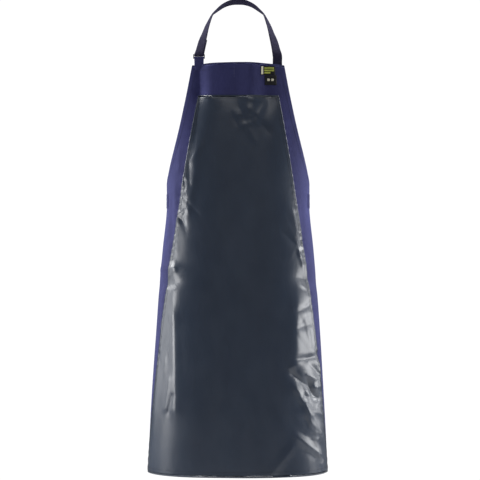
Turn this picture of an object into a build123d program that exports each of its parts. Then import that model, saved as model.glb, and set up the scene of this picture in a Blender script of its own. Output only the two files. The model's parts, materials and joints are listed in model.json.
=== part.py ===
from build123d import *
import math
import os

os.makedirs("parts", exist_ok=True)

# Welding apron, worn shape. Millimetres, +Z up, the wearer faces -Y.
# The origin is where the neck strap's inner face bears on the nape of the neck.
# A place on the cloth is given by its depth below the bib's top line and by its
# distance round the body from the front centre line, negative on the -X side.

# Driving dimensions: cloth
APRON_LENGTH = 1096.0
BIB_TOP_Z = -179.0
BIB_TOP_ARCH = 8.0
BIB_HALF = 121.0
WAIST_DEPTH = 350.0
HEM_HALF = 318.0
BODY_T = 1.2
PANEL_T = 1.0
PANEL_TOP = 88.0
PANEL_TOP_HALF = 107.5
PANEL_HEM_HALF = 303.0
HEM_T = 1.0
HEM_WIDTH = 20.0
EDGE_WIDTH = 14.0
LAYER_GAP = 0.15
EDGE_GAP = 0.5
EDGE_INSET = 1.0
HEM_END_GAP = 6.0
PATCH_SIZE = 38.0
PATCH_FROM = 217.0
PATCH_GAP = 0.8

# Driving dimensions: webbing and buckles
STRAP_W = 25.0
STRAP_T = 1.8
HINGE_Y = -138.0
HINGE_Z = -167.0
LOOP_TAB_X = -103.5
SEWN_TAB_X = 104.0
TAB_W = 22.0
TAB_T = 1.2
TAB_FOOT = 24.0
BAR_R = 1.5
BAR_GAP = 0.35
BAR_PITCH = 7.6
BUCKLE_INNER_W = 26.0
BUCKLE_RAIL_W = 2.4
BUCKLE_RAIL_T = 4.2
BUCKLE_RAIL_END = 0.5
TAIL_DROP = 3.6
WAIST_STRAP_DEPTH = 366.0
WAIST_BACK_Y = 76.0
WAIST_SEWN_GAP = 0.5

# Half the cloth's width at each depth, from the bib's corner down the arm curve
# to the side corner and down the straight side to the hem.
HALF_WIDTHS = (
    (0, BIB_HALF),
    (100, 142),
    (206, 172),
    (290, 212),
    (WAIST_DEPTH, 258),
    (400, 267),
    (APRON_LENGTH, HEM_HALF),
)
# Distance round the body from the front centre to the side, at each depth.
QUARTER_GIRTH = (
    (0, 320),
    (150, 275),
    (300, 247),
    (364, 245),
    (496, 260),
    (628, 274),
    (892, 296),
    (APRON_LENGTH, 309),
)
# The front centre line in side view.
FRONT_LINE = (
    (0, -150),
    (150, -161),
    (400, -158),
    (628, -161),
    (APRON_LENGTH, -170),
)
FRESNEL_TERMS = 8


def smooth(table, x):
    """Value at x of the curve through a table's points, with no overshoot."""
    steps = [b[0] - a[0] for a, b in zip(table, table[1:])]
    slopes = [(b[1] - a[1]) / step for a, b, step in zip(table, table[1:], steps)]
    tangents = [slopes[0]]
    for i in range(1, len(slopes)):
        before, after = slopes[i - 1], slopes[i]
        turns_back = before * after <= 0
        if turns_back:
            tangents.append(0)
            continue
        tangents.append((steps[i - 1] + steps[i]) / (steps[i] / before + steps[i - 1] / after))
    tangents.append(slopes[-1])
    i = 0
    while i < len(steps) - 1 and x > table[i + 1][0]:
        i += 1
    t = (x - table[i][0]) / steps[i]
    start = (1 + 2 * t) * (1 - t) ** 2 * table[i][1] + t * (1 - t) ** 2 * steps[i] * tangents[i]
    end = t * t * (3 - 2 * t) * table[i + 1][1] + t * t * (t - 1) * steps[i] * tangents[i + 1]
    return start + end


def fresnel(u, odd):
    """The Fresnel integral C(u), or S(u) where odd is 1."""
    total = 0.0
    for n in range(FRESNEL_TERMS):
        k = 2 * n + odd
        total += (-1) ** n * (math.pi / 2) ** k * u ** (2 * k + 1) / (math.factorial(k) * (2 * k + 1))
    return total


def on_cloth(around, depth, outward=0.0):
    """A point on the apron; each level section is an Euler spiral from the front centre."""
    girth = smooth(QUARTER_GIRTH, depth)
    u = abs(around) / girth
    side = math.copysign(1, around)
    heading = math.pi / 2 * u * u
    x = side * (girth * fresnel(u, 0) + outward * math.sin(heading))
    y = smooth(FRONT_LINE, depth) + girth * fresnel(u, 1) - outward * math.cos(heading)
    return Vector(x, y, BIB_TOP_Z - depth)


def half_width(depth):
    return smooth(HALF_WIDTHS, max(depth, 0))


def panel_half(depth):
    widening = (PANEL_HEM_HALF - PANEL_TOP_HALF) / (APRON_LENGTH - PANEL_TOP)
    return PANEL_TOP_HALF + widening * (depth - PANEL_TOP)


def above_bib(drop):
    """The space above the bib's top edge, which arches up at the centre."""
    reach = BIB_HALF + PANEL_TOP / 4
    corner = BIB_TOP_Z - drop - BIB_TOP_ARCH * (reach / BIB_HALF) ** 2
    crown = BIB_TOP_Z - drop
    arch = ThreePointArc((-reach, corner), (0, crown), (reach, corner))
    lid_z = crown + PANEL_TOP
    lid = Polyline((reach, corner), (reach, lid_z), (-reach, lid_z), (-reach, corner))
    return extrude(Plane.XZ * make_face(arch + lid), BIB_HALF * 2, both=True)


def sheet(left, right, top, bottom, outward, thickness, across=11, down=15):
    """A cloth sheet between two side curves, whose inner face is at an outward distance."""
    sections = []
    for j in range(down):
        v = j / (down - 1)
        depth = top + v * (bottom - top)
        outer, inner = [], []
        for i in range(across):
            around = left(depth) + i / (across - 1) * (right(depth) - left(depth))
            inner.append(on_cloth(around, depth, outward))
            outer.append(on_cloth(around, depth, outward + thickness))
        front = Edge.make_spline(outer)
        back = Edge.make_spline(inner[::-1])
        right_end = Edge.make_line(outer[-1], inner[-1])
        left_end = Edge.make_line(inner[0], outer[0])
        sections.append(Wire([front, right_end, back, left_end]))
    return Solid.make_loft(sections)


def write(name, solid):
    export_step(solid, os.path.join("parts", name + ".step"))


def mirrored(solid):
    return mirror(solid, about=Plane.YZ)


# Cloth body and the coated panel over it
panel_inner = BODY_T + LAYER_GAP
lining_inner = -LAYER_GAP - HEM_T


def body_span(top, bottom, down):
    return sheet(lambda d: -half_width(d), half_width, top, bottom, 0, BODY_T, 15, down)


def apron_body():
    bib = body_span(0, WAIST_DEPTH, 15) - above_bib(0)
    skirt = body_span(WAIST_DEPTH, APRON_LENGTH, 17)
    return bib + skirt


def front_panel():
    bottom = APRON_LENGTH - EDGE_INSET
    return sheet(lambda d: -panel_half(d), panel_half, PANEL_TOP, bottom, panel_inner, PANEL_T, 15, 25)


write("apron_body", apron_body())
write("front_panel", front_panel())

# Turned hems on the inside


def bib_hem():
    reach = BIB_HALF - 2 * EDGE_INSET
    strip = sheet(lambda d: -reach, lambda d: reach, 0, HEM_WIDTH, lining_inner, HEM_T, 11, 4)
    return strip - above_bib(EDGE_INSET)


def bottom_hem():
    reach = HEM_HALF - EDGE_WIDTH - 2 * EDGE_INSET
    top = APRON_LENGTH - HEM_WIDTH
    bottom = APRON_LENGTH - EDGE_INSET
    return sheet(lambda d: -reach, lambda d: reach, top, bottom, lining_inner, HEM_T, 15, 4)


def edge_hem(start, stop, down):
    """The turned edge on the +X side between two depths."""
    return sheet(
        lambda d: half_width(d) - EDGE_WIDTH,
        lambda d: half_width(d) - EDGE_INSET,
        start,
        stop,
        -EDGE_GAP - HEM_T,
        HEM_T,
        4,
        down,
    )


arm_hem = edge_hem(HEM_WIDTH + HEM_END_GAP, WAIST_DEPTH - 4 * EDGE_INSET, 15)
side_hem = edge_hem(WAIST_DEPTH - 3 * EDGE_INSET, APRON_LENGTH - EDGE_INSET, 21)
write("bib_hem", bib_hem())
write("bottom_hem", bottom_hem())
write("arm_hem_right", arm_hem)
write("arm_hem_left", mirrored(arm_hem))
write("side_hem_right", side_hem)
write("side_hem_left", mirrored(side_hem))


# Neck strap: the centre line of the +X half from above the bib to the nape, each
# point with the direction that the strap's outer face looks there.
BAR_OFFSET = BAR_R + BAR_GAP + STRAP_T / 2
SEWN_GAP = 1.3
BUCKLE_BAR_Z = HINGE_Z + BAR_PITCH
NAPE_TILT = 60.0
nape_out = Vector(0, math.cos(math.radians(NAPE_TILT)), math.sin(math.radians(NAPE_TILT)))
NECK_RISE = (
    ((101, -134.5, -147), (0.36, -0.90, 0.22)),
    ((94.5, -117, -117), (0.49, -0.65, 0.58)),
    ((87.5, -96, -91), (0.69, -0.45, 0.57)),
    ((81, -76, -68), (0.76, -0.35, 0.55)),
    ((73, -53, -44), (0.82, -0.18, 0.55)),
    ((64.5, -38, -31), (0.76, 0.00, 0.65)),
    ((51, -22, -18), (0.72, 0.22, 0.65)),
    ((33, -8, -6.5), (0.46, 0.38, 0.80)),
    ((16, -1.5, -0.5), (0.22, 0.47, 0.86)),
)
nape = nape_out * (STRAP_T / 2)


def ribbon(stations, start=None, end=None):
    """A strap lofted through (point, outward direction) stations, with its end directions."""
    points = [Vector(*point) for point, _ in stations]
    outs = [Vector(*out) for _, out in stations]
    last = len(points) - 1
    sections = []
    for i, (point, out) in enumerate(zip(points, outs)):
        along = points[min(i + 1, last)] - points[max(i - 1, 0)]
        if i == 0 and start:
            along = Vector(*start)
        if i == last and end:
            along = Vector(*end)
        across = along.cross(out).normalized()
        plane = Plane(origin=point, x_dir=across, z_dir=out.cross(across).normalized())
        sections.append((plane * Rectangle(STRAP_W, STRAP_T)).wire())
    return Solid.make_loft(sections)


def other_side(stations):
    return [((-p[0], p[1], p[2]), (-out[0], out[1], out[2])) for p, out in stations]


def toward_wearer(stations, drop):
    """The stations moved inward, behind the strap."""
    moved = []
    for point, out in stations:
        inward = Vector(*out).normalized() * -drop
        moved.append((tuple(Vector(*point) + inward), out))
    return moved


FACING_FRONT = (0, -1, 0)
FACING_BACK = (0, 1, 0)
UP = (0, 0, 1)
DOWN = (0, 0, -1)
sewn_end = ((SEWN_TAB_X, HINGE_Y, HINGE_Z + SEWN_GAP), FACING_FRONT)
buckle_end = ((LOOP_TAB_X, HINGE_Y - BAR_OFFSET, BUCKLE_BAR_Z), FACING_FRONT)
buckle_rise = other_side(NECK_RISE)
nape_station = (tuple(nape), tuple(nape_out))
main_run = [buckle_end] + buckle_rise + [nape_station] + list(NECK_RISE[::-1]) + [sewn_end]
TAIL_STATIONS = 2
tail_run = [((LOOP_TAB_X, HINGE_Y + BAR_OFFSET, BUCKLE_BAR_Z), FACING_FRONT)]
tail_run += toward_wearer(buckle_rise[:TAIL_STATIONS], TAIL_DROP)


def half_ring(thickness, width):
    """The half turn of a strap that passes under a bar lying along X at the origin."""
    inner = BAR_R + BAR_GAP
    outer = inner + thickness
    ring = extrude(Plane.YZ * (Circle(outer) - Circle(inner)), width / 2, both=True)
    return ring & Box(width * 2, outer * 2, outer, align=(Align.CENTER, Align.CENTER, Align.MAX))


def neck_strap():
    fold = Pos(LOOP_TAB_X, HINGE_Y, BUCKLE_BAR_Z) * half_ring(STRAP_T, STRAP_W)
    return fold + ribbon(main_run, start=UP, end=DOWN) + ribbon(tail_run, start=UP)


write("neck_strap", neck_strap())


# Neck buckle: two rails joined by the tab's bar below and the strap's bar above
def bar(z, reach):
    return Pos(LOOP_TAB_X, HINGE_Y, z) * Cylinder(BAR_R, 2 * reach, rotation=(0, 90, 0))


def neck_buckle():
    reach = BUCKLE_INNER_W / 2 + BUCKLE_RAIL_W
    height = BAR_PITCH + 2 * (BAR_R + BUCKLE_RAIL_END)
    rail = Box(BUCKLE_RAIL_W, BUCKLE_RAIL_T, height)
    rail = fillet(rail.edges().filter_by(Axis.X), BUCKLE_RAIL_W / 3)
    middle_z = (HINGE_Z + BUCKLE_BAR_Z) / 2
    buckle = Part()
    for side in (-1, 1):
        buckle += Pos(LOOP_TAB_X + side * (reach - BUCKLE_RAIL_W / 2), HINGE_Y, middle_z) * rail
    for bar_z in (HINGE_Z, BUCKLE_BAR_Z):
        buckle += bar(bar_z, reach - BUCKLE_RAIL_W / 2)
    return buckle


write("neck_buckle", neck_buckle())


# Tabs at the bib's corners: a loop round the buckle's lower bar, and a plain one
def loop_tab():
    from_bar = BAR_R + BAR_GAP + TAB_T / 2
    height = HINGE_Z - BIB_TOP_Z + TAB_FOOT
    leg = Box(TAB_W, TAB_T, height, align=(Align.CENTER, Align.CENTER, Align.MAX))
    tab = Rot(180, 0, 0) * half_ring(TAB_T, TAB_W)
    for side in (-1, 1):
        tab += Pos(0, side * from_bar, 0) * leg
    return Pos(LOOP_TAB_X, HINGE_Y, HINGE_Z) * tab


def sewn_tab():
    top_z = HINGE_Z - SEWN_GAP
    height = top_z - (BIB_TOP_Z - TAB_FOOT)
    tab = Box(TAB_W, STRAP_T, height, align=(Align.CENTER, Align.CENTER, Align.MAX))
    return Pos(SEWN_TAB_X, HINGE_Y, top_z) * tab


write("neck_tab_left", loop_tab())
write("neck_tab_right", sewn_tab())


# Waist strap: level webbing sewn inside the side corners, round the back to its buckle.
# Each half lists the distances round the cloth where it is sewn, then its free points.
WAIST_Z = BIB_TOP_Z - WAIST_STRAP_DEPTH
SEWN_AROUND = (216, 232, 248, 262)
SEWN_INSET = EDGE_GAP + HEM_T + WAIST_SEWN_GAP + STRAP_T / 2
FREE_POINTS = ((185, -6), (170, 30), (142, 57), (104, 73), (66, 78.5), (44, 78.5))
SOCKET_BAR_X = -28.0
PLUG_BAR_X = 24.0
WAIST_TAIL = 40.0


def level_band(points, outs):
    """A strap standing on edge at waist height, along points on its middle line."""
    sides = []
    for offset in (-STRAP_T / 2, STRAP_T / 2):
        sides.append([point + out.normalized() * offset for point, out in zip(points, outs)])
    inner, outer = (Spline(*side) for side in sides)
    ends = Line(sides[0][0], sides[1][0]) + Line(sides[0][-1], sides[1][-1])
    return extrude(make_face(inner + outer + ends), STRAP_W / 2, both=True, dir=(0, 0, 1))


def waist_strap(bar_x):
    """The +X strap, sewn at the side and folded round a bar standing at bar_x."""
    points = [on_cloth(around, WAIST_STRAP_DEPTH, -SEWN_INSET) for around in SEWN_AROUND]
    points += [Vector(x, y, WAIST_Z) for x, y in FREE_POINTS]
    points.append(Vector(bar_x, WAIST_BACK_Y + BAR_OFFSET, WAIST_Z))
    outs = []
    for i in range(len(points)):
        along = points[min(i + 1, len(points) - 1)] - points[max(i - 1, 0)]
        outs.append(Vector(along.Y, -along.X, 0))
    outs[-1] = Vector(*FACING_BACK)
    tail_y = WAIST_BACK_Y - BAR_OFFSET
    tail = [Vector(x, tail_y, WAIST_Z) for x in (bar_x, bar_x + WAIST_TAIL / 2, bar_x + WAIST_TAIL)]
    fold = Pos(bar_x, WAIST_BACK_Y, WAIST_Z) * Rot(0, 90, 0) * half_ring(STRAP_T, STRAP_W)
    return fold + level_band(points, outs) + level_band(tail, [Vector(*FACING_BACK)] * len(tail))


write("waist_strap_right", waist_strap(PLUG_BAR_X))
write("waist_strap_left", mirrored(waist_strap(-SOCKET_BAR_X)))


# Cloth patches outside the side corners, over the sewn strap ends
def waist_patch():
    top = WAIST_STRAP_DEPTH - PATCH_SIZE / 2
    bottom = WAIST_STRAP_DEPTH + PATCH_SIZE / 2
    inner = BODY_T + PATCH_GAP
    end = PATCH_FROM + PATCH_SIZE
    return sheet(lambda d: PATCH_FROM, lambda d: end, top, bottom, inner, HEM_T, 7, 4)


patch = waist_patch()
write("waist_patch_right", patch)
write("waist_patch_left", mirrored(patch))

# Waist buckle: a hollow socket, a plug with a centre tongue, and its two sprung arms
SHELL_W = 31.0
SHELL_T = 9.2
SHELL_WALL = 1.6
SOCKET_FROM = -20.0
SOCKET_MOUTH = 4.0
WINDOW = (-14.8, -2.6)
PLUG_BASE = (8.0, 15.0)
ARM_ROOT_X = 6.2
ARM_ROOT_Z = 8.5
ARM_ROOT_R = 1.5
ARM_T = 5.0
ARM_PAD = (-13.6, -3.6)
ARM_TIP_Z = 15.2
ARM_PAD_CORNER = 4.0
TONGUE_W = 4.4
TONGUE_T = 3.6
RAIL_T = 3.6
place_buckle = Pos(0, WAIST_BACK_Y, WAIST_Z)


def block(x_from, x_to, thickness, width):
    return Pos((x_from + x_to) / 2, 0, 0) * Box(x_to - x_from, thickness, width)


def strap_frame(x_shell, x_bar):
    """The two rails and the round bar that a strap folds round."""
    x_end = x_bar + math.copysign(BAR_R + 0.5, x_bar)
    frame = Pos(x_bar, 0, 0) * Cylinder(BAR_R, BUCKLE_INNER_W + BUCKLE_RAIL_W)
    rail = block(min(x_shell, x_end), max(x_shell, x_end), RAIL_T, (SHELL_W - BUCKLE_INNER_W) / 2)
    for side in (-1, 1):
        frame += Pos(0, 0, side * (SHELL_W + BUCKLE_INNER_W) / 4) * rail
    return frame


def waist_socket():
    shell = block(SOCKET_FROM, SOCKET_MOUTH, SHELL_T, SHELL_W)
    shell = fillet(shell.edges().filter_by(Axis.X), SHELL_WALL)
    hollow_t = SHELL_T - 2 * SHELL_WALL
    shell -= block(SOCKET_FROM + SHELL_WALL, SOCKET_MOUTH + 1, hollow_t, SHELL_W - 2 * SHELL_WALL)
    shell -= block(WINDOW[0], WINDOW[1], hollow_t, SHELL_W + 2)
    return place_buckle * (shell + strap_frame(SOCKET_FROM + 1, SOCKET_BAR_X))


def waist_plug():
    base = block(PLUG_BASE[0], PLUG_BASE[1], SHELL_T - 1, SHELL_W)
    base = fillet(base.edges().filter_by(Axis.X), SHELL_WALL)
    tongue = block(ARM_PAD[0], PLUG_BASE[0] + 1, TONGUE_T, TONGUE_W)
    return place_buckle * (base + tongue + strap_frame(PLUG_BASE[1] - 1, PLUG_BAR_X))


def waist_arm():
    """The arm on the +Z side: a round root, a straight shank and the pad in the window."""
    pad_from, pad_to = ARM_PAD
    shank = Polyline(
        (ARM_ROOT_X, ARM_ROOT_Z - ARM_ROOT_R),
        (ARM_ROOT_X, ARM_ROOT_Z + ARM_ROOT_R),
        (pad_to + ARM_PAD_CORNER, ARM_ROOT_Z + ARM_ROOT_R),
        (pad_to, ARM_TIP_Z - ARM_PAD_CORNER / 4),
        (pad_to - ARM_PAD_CORNER / 2, ARM_TIP_Z),
        (pad_from + ARM_PAD_CORNER, ARM_TIP_Z),
        (pad_from, ARM_TIP_Z - ARM_PAD_CORNER),
        (pad_from, ARM_ROOT_Z),
        (pad_from + ARM_PAD_CORNER, ARM_ROOT_Z - ARM_ROOT_R),
        close=True,
    )
    profile = make_face(shank) + Pos(ARM_ROOT_X, ARM_ROOT_Z) * Circle(ARM_ROOT_R)
    return place_buckle * extrude(Plane.XZ * profile, ARM_T / 2, both=True)


write("waist_buckle_socket", waist_socket())
write("waist_buckle_plug", waist_plug())
arm = waist_arm()
write("waist_buckle_arm_upper", arm)
write("waist_buckle_arm_lower", mirror(arm, about=Plane.XY.offset(WAIST_Z)))

# Labels on the bib: flat plates that touch the cloth's curve at their middles
LABEL_T = 0.6
LABEL_STANDOFF = 0.35
UPPER_LABEL = (79, 22.4, 39, 24)
LOWER_LABEL = (86, 48.2, 31.5, 26)
LABEL_BAR_W = 7.5
LABEL_BAR_T = 0.3
LABEL_BAR_LEFT = 0.8
LABEL_BAR_INSET = 1.5
CHORD = 5.0


def label_plane(around, depth, outward):
    """A plane whose X and Y follow the cloth at a place and whose Z looks outward."""
    across = on_cloth(around + CHORD, depth) - on_cloth(around - CHORD, depth)
    up = on_cloth(around, depth - CHORD) - on_cloth(around, depth + CHORD)
    return Plane(origin=on_cloth(around, depth, outward), x_dir=across, z_dir=across.cross(up))


def label(place, inset=0.0, left=0.0, width=None, thickness=LABEL_T, lift=0.0):
    """A flat plate on the cloth; the inset and left shift place a smaller one on top of it."""
    around, depth, full_width, height = place
    width = width or full_width
    plane = label_plane(around, depth, BODY_T + LABEL_STANDOFF)
    plate = Box(width, height - 2 * inset, thickness, align=(Align.MIN, Align.CENTER, Align.MIN))
    return plane * Pos(left - full_width / 2, 0, lift) * plate


write("bib_label", label(UPPER_LABEL))
bar_place = (LABEL_BAR_INSET, LABEL_BAR_LEFT, LABEL_BAR_W, LABEL_BAR_T, LABEL_T)
write("bib_label_bar", label(UPPER_LABEL, *bar_place))
write("hanging_label", label(LOWER_LABEL))

# Thread bars: on the bib's front, through the tabs and through the waist strap's ends
THREAD_T = 0.5
THREAD_W = 1.8
BIB_TACK = (-10.5, 25.0, THREAD_W, 30.0)
TAB_TACK_DEPTHS = (9.0, 18.0)
TAB_TACK_GAP = 0.03
WAIST_TACKS_AROUND = (224, 244)
WAIST_TACK_GAP = 0.3
TACK_SHORTER = 4.0


def tab_tacks():
    """Two bars on the back of each tab, where it is sewn to the bib's hem."""
    back_left = HINGE_Y + BAR_R + BAR_GAP + TAB_T
    back_right = HINGE_Y + STRAP_T / 2
    tacks = []
    for x, y in ((LOOP_TAB_X, back_left), (SEWN_TAB_X, back_right)):
        for depth in TAB_TACK_DEPTHS:
            tack = Box(
                TAB_W - TACK_SHORTER, THREAD_T, THREAD_W, align=(Align.CENTER, Align.MIN, Align.CENTER)
            )
            tacks.append(Pos(x, y + TAB_TACK_GAP, BIB_TOP_Z - depth) * tack)
    return Compound(children=tacks)


def waist_tacks():
    """Two upright bars on each sewn end of the waist strap."""
    inset = SEWN_INSET + STRAP_T / 2 + WAIST_TACK_GAP
    length = STRAP_W - TACK_SHORTER
    tack = Box(THREAD_W, length, THREAD_T, align=(Align.CENTER, Align.CENTER, Align.MAX))
    tacks = []
    for side in (-1, 1):
        for around in WAIST_TACKS_AROUND:
            plane = label_plane(side * around, WAIST_STRAP_DEPTH, -inset)
            tacks.append(plane * tack)
    return Compound(children=tacks)


write("bib_bartack", label(BIB_TACK, thickness=THREAD_T))
write("tab_bartacks", tab_tacks())
write("waist_bartacks", waist_tacks())
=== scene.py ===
import json
import math

import bmesh
import bpy
import numpy as np
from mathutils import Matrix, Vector


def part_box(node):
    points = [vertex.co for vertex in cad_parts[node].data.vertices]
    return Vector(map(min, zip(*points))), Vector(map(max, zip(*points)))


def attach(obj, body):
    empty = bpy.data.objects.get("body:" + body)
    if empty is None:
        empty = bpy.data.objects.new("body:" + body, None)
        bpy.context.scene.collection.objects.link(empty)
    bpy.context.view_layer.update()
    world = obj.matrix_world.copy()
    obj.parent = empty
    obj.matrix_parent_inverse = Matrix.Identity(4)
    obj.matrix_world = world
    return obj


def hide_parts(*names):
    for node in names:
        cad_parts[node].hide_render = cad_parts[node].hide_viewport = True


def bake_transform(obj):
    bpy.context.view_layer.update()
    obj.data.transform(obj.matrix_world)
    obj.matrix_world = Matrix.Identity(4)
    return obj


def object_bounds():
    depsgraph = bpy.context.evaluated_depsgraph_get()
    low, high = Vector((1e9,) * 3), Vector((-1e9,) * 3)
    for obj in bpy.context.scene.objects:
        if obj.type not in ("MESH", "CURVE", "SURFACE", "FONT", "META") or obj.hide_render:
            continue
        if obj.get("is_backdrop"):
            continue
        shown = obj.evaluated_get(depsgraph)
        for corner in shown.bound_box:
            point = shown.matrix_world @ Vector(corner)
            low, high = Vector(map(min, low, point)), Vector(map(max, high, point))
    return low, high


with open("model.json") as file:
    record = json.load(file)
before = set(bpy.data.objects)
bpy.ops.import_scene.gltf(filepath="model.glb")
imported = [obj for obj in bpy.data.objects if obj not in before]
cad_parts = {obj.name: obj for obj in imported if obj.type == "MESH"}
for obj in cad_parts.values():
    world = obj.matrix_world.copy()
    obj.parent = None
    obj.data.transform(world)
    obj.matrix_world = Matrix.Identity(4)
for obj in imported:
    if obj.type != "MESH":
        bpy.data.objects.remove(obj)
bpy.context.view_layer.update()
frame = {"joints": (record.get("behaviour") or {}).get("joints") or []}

# Everything is in metres in the CAD's frame. A place on the cloth is (around, depth, out):
# around the body from the front centre line, depth below the bib's top line, and outward.

# ---------------------------------------------------------------- the apron's own sizes
BIB_TOP_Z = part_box("apron_body")[1].z
LENGTH = BIB_TOP_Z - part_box("apron_body")[0].z
BIB_HALF = 0.121
BIB_ARCH = 0.008
WAIST_DEPTH = 0.350
BODY_T = 0.0012
PANEL_T = 0.0010
PANEL_TOP = BIB_TOP_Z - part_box("front_panel")[1].z
PANEL_TOP_HALF = 0.1075
PANEL_HEM_HALF = 0.303
HEM_T = 0.0010
HEM_WIDTH = 0.020
EDGE_WIDTH = 0.014
# Half the cloth's width, the distance round the body from front to side, and the front centre
# line in side view, each by depth below the bib's top line.
HALF_WIDTHS = (
    (0, 0.121),
    (0.100, 0.142),
    (0.206, 0.172),
    (0.290, 0.212),
    (0.350, 0.258),
    (0.400, 0.267),
    (1.096, 0.318),
)
QUARTER_GIRTH = (
    (0, 0.320),
    (0.150, 0.275),
    (0.300, 0.247),
    (0.364, 0.245),
    (0.496, 0.260),
    (0.628, 0.274),
    (0.892, 0.296),
    (1.096, 0.309),
)
FRONT_LINE = ((0, -0.150), (0.150, -0.161), (0.400, -0.158), (0.628, -0.161), (1.096, -0.170))
FRESNEL_TERMS = 8

HINGE = next(Vector(j["pos_m"]) for j in frame["joints"] if j["name"] == "bib_swing")
LOOP_TAB_X = sum(p.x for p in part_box("neck_buckle")) / 2
SEWN_TAB_X = sum(p.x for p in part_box("neck_tab_right")) / 2
BAR_PITCH = 0.0076
BAR_CLEAR = 0.00185
STRAP_W = 0.025
STRAP_T = 0.0018
WAIST_Z = sum(p.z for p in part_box("waist_buckle_plug")) / 2
WAIST_BACK_Y = sum(p.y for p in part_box("waist_buckle_plug")) / 2
WAIST_STRAP_DEPTH = BIB_TOP_Z - WAIST_Z
SIDES = ((-1, "left"), (1, "right"))


# ---------------------------------------------------------------- curves and the cloth's surface
def smooth(table, x):
    """Values at x of the curve through a table's points, with no overshoot."""
    xs, ys = np.array(table, float).T
    step = np.diff(xs)
    slope = np.diff(ys) / step
    tangent = np.concatenate([slope[:1], np.zeros(len(slope) - 1), slope[-1:]])
    for i in range(1, len(slope)):
        if slope[i - 1] * slope[i] > 0:
            tangent[i] = (step[i - 1] + step[i]) / (step[i] / slope[i - 1] + step[i - 1] / slope[i])
    x = np.asarray(x, float)
    i = np.clip(np.searchsorted(xs, x) - 1, 0, len(step) - 1)
    t = (x - xs[i]) / step[i]
    start = (1 + 2 * t) * (1 - t) ** 2 * ys[i] + t * (1 - t) ** 2 * step[i] * tangent[i]
    return start + t * t * (3 - 2 * t) * ys[i + 1] + t * t * (t - 1) * step[i] * tangent[i + 1]


def fresnel(u, odd):
    """The Fresnel integral of cosine (odd 0) or sine (odd 1), by its series."""
    total = np.zeros_like(u)
    for n in range(FRESNEL_TERMS):
        k = 2 * n + odd
        total += (-1) ** n * (math.pi / 2) ** k * u ** (2 * k + 1) / (math.factorial(k) * (2 * k + 1))
    return total


def worn(around, depth, out=0.0):
    """Points of the smooth worn shape; each level section is an Euler spiral from the front."""
    around, depth = np.broadcast_arrays(np.asarray(around, float), np.asarray(depth, float))
    girth = smooth(QUARTER_GIRTH, depth)
    u = np.abs(around) / girth
    heading = math.pi / 2 * u * u
    x = np.sign(around) * (girth * fresnel(u, 0) + out * np.sin(heading))
    y = smooth(FRONT_LINE, depth) + girth * fresnel(u, 1) - out * np.cos(heading)
    return np.stack([x, y, BIB_TOP_Z - depth], axis=-1)


def half_width(depth):
    """Half the cloth's width at a depth."""
    return smooth(HALF_WIDTHS, np.clip(depth, 0, LENGTH))


def panel_half(depth):
    """Half the panel's width at a depth; its sides are straight."""
    return PANEL_TOP_HALF + (PANEL_HEM_HALF - PANEL_TOP_HALF) * (depth - PANEL_TOP) / (LENGTH - PANEL_TOP)


def bib_top(around):
    """Depth of the arched top edge of the bib."""
    return BIB_ARCH * (around / BIB_HALF) ** 2


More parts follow.
